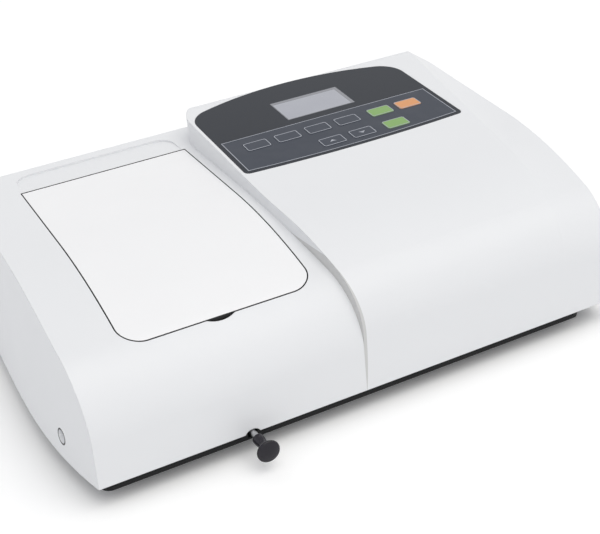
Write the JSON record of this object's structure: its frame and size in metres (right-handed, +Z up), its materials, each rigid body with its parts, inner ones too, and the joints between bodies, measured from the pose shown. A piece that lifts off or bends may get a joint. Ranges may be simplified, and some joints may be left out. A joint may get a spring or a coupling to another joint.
{
  "type": "visible spectrophotometer",
  "caption": "Bench spectrophotometer with a hinged sample lid, sliding cuvette carriage on a pull rod, raised control belt with display and keys, and optics inside.",
  "frame": {"origin": "on the table plane, under the middle of the bounding box", "axes": "+X to the right along the front, +Y to the rear, +Z up"},
  "size_m": [0.48, 0.358, 0.1428],
  "materials": {
    "cover_white": "fine matt moulded finish",
    "tray_black": "matt black",
    "rubber_black": "soft matt",
    "steel_screw": "bright zinc plate",
    "panel_slate": "satin printed membrane",
    "lcd_glass": "clear glossy window",
    "lcd_frame": "matt",
    "board_green": "solder mask",
    "switch_black": "matt",
    "key_slate": "satin membrane",
    "key_green": "satin membrane",
    "key_orange": "satin membrane",
    "knob_black": "glossy moulded",
    "rod_steel": "ground rod",
    "box_black": "anti-reflection black",
    "anodised": "black anodised",
    "cast_grey": "cast and machined",
    "sheet_steel": "zinc plated sheet",
    "rear_paint": "light grey powder coat",
    "mirror_glass": "front-silvered",
    "lamp_glass": "clear quartz",
    "lens_glass": "polished"
  },
  "bodies": {
    "instrument": {"base_tray": "tray_black", "board_posts": "rod_steel", "collimating_mirror": "mirror_glass", "condenser_lens": "lens_glass", "cover_screws": "steel_screw", "data_port": "sheet_steel", "detector_housing": "anodised", "fan_frame": "switch_black", "fan_guard": "steel_screw", "filter_motor": "sheet_steel", "foot_front_left": "rubber_black", "foot_front_right": "rubber_black", "foot_rear_left": "rubber_black", "foot_rear_right": "rubber_black", "foot_screws": "steel_screw", "fuse_holder": "switch_black", "guide_rails": "rod_steel", "halogen_lamp": "lamp_glass", "hinge_pins": "rod_steel", "key_switches": "switch_black", "keypad_board": "board_green", "lamp_holder": "cast_grey", "lamp_house": "sheet_steel", "lcd_module": "lcd_frame", "lcd_window": "lcd_glass", "lens_ring": "anodised", "lid_seal": "rubber_black", "main_board": "board_green", "main_cover": "cover_white", "mains_inlet": "switch_black", "monochromator_base": "cast_grey", "monochromator_cover": "cast_grey", "panel_overlay": "panel_slate", "photodiode": "switch_black", "power_supply": "sheet_steel", "rear_panel": "rear_paint", "sample_compartment": "box_black", "side_brackets": "sheet_steel", "slit_plates": "sheet_steel", "switch_frame": "switch_black"},
    "lid": {"lid": "cover_white"},
    "carriage": {"cuvette_carriage": "anodised", "pull_rod": "rod_steel", "rod_knob": "knob_black"},
    "rocker": {"power_rocker": "switch_black"},
    "fan": {"fan_rotor": "switch_black"},
    "grating": {"grating_table": "cast_grey", "diffraction_grating": "mirror_glass"},
    "filters": {"filter_wheel": "anodised"},
    "key_1_body": {"key_1": "key_slate"},
    "key_2_body": {"key_2": "key_slate"},
    "key_3_body": {"key_3": "key_slate"},
    "key_4_body": {"key_4": "key_slate"},
    "key_5_body": {"key_5": "key_slate"},
    "key_6_body": {"key_6": "key_slate"},
    "key_7_body": {"key_7": "key_green"},
    "key_8_body": {"key_8": "key_green"},
    "key_9_body": {"key_9": "key_orange"}
  },
  "joints": [
    {"name": "lid_hinge", "type": "hinge", "parent": "instrument", "child": "lid", "pos_m": [-0.1115, 0.11755, 0.11603], "axis": [-1, 0, 0], "range_deg": [0, 100]},
    {"name": "carriage_slide", "type": "slide", "parent": "instrument", "child": "carriage", "axis": [0, -1, 0], "range_m": [0, 0.051]},
    {"name": "rocker_tilt", "type": "hinge", "parent": "instrument", "child": "rocker", "pos_m": [0.172, 0.1745, 0.071], "axis": [1, 0, 0], "range_deg": [0, 20]},
    {"name": "fan_spin", "type": "hinge", "parent": "instrument", "child": "fan", "pos_m": [0.043, 0.1655, 0.055], "axis": [0, 1, 0], "continuous": true},
    {"name": "grating_turn", "type": "hinge", "parent": "instrument", "child": "grating", "pos_m": [0.077, -0.0455, 0.02], "axis": [0, 0, 1], "range_deg": [-20, 25]},
    {"name": "filter_turn", "type": "hinge", "parent": "instrument", "child": "filters", "pos_m": [-0.028, -0.0145, 0.037], "axis": [1, 0, 0], "continuous": true},
    {"name": "key_1_press", "type": "slide", "parent": "instrument", "child": "key_1_body", "axis": [0, 0.0924, -0.9957], "range_m": [0, 0.0005], "stiffness_N_per_m": 900},
    {"name": "key_2_press", "type": "slide", "parent": "instrument", "child": "key_2_body", "axis": [0, 0.0924, -0.9957], "range_m": [0, 0.0005], "stiffness_N_per_m": 900},
    {"name": "key_3_press", "type": "slide", "parent": "instrument", "child": "key_3_body", "axis": [0, 0.0924, -0.9957], "range_m": [0, 0.0005], "stiffness_N_per_m": 900},
    {"name": "key_4_press", "type": "slide", "parent": "instrument", "child": "key_4_body", "axis": [0, 0.0924, -0.9957], "range_m": [0, 0.0005], "stiffness_N_per_m": 900},
    {"name": "key_5_press", "type": "slide", "parent": "instrument", "child": "key_5_body", "axis": [0, 0.0924, -0.9957], "range_m": [0, 0.0005], "stiffness_N_per_m": 900},
    {"name": "key_6_press", "type": "slide", "parent": "instrument", "child": "key_6_body", "axis": [0, 0.0924, -0.9957], "range_m": [0, 0.0005], "stiffness_N_per_m": 900},
    {"name": "key_7_press", "type": "slide", "parent": "instrument", "child": "key_7_body", "axis": [0, 0.0924, -0.9957], "range_m": [0, 0.0005], "stiffness_N_per_m": 900},
    {"name": "key_8_press", "type": "slide", "parent": "instrument", "child": "key_8_body", "axis": [0, 0.0924, -0.9957], "range_m": [0, 0.0005], "stiffness_N_per_m": 900},
    {"name": "key_9_press", "type": "slide", "parent": "instrument", "child": "key_9_body", "axis": [0, 0.0924, -0.9957], "range_m": [0, 0.0005], "stiffness_N_per_m": 900}
  ]
}
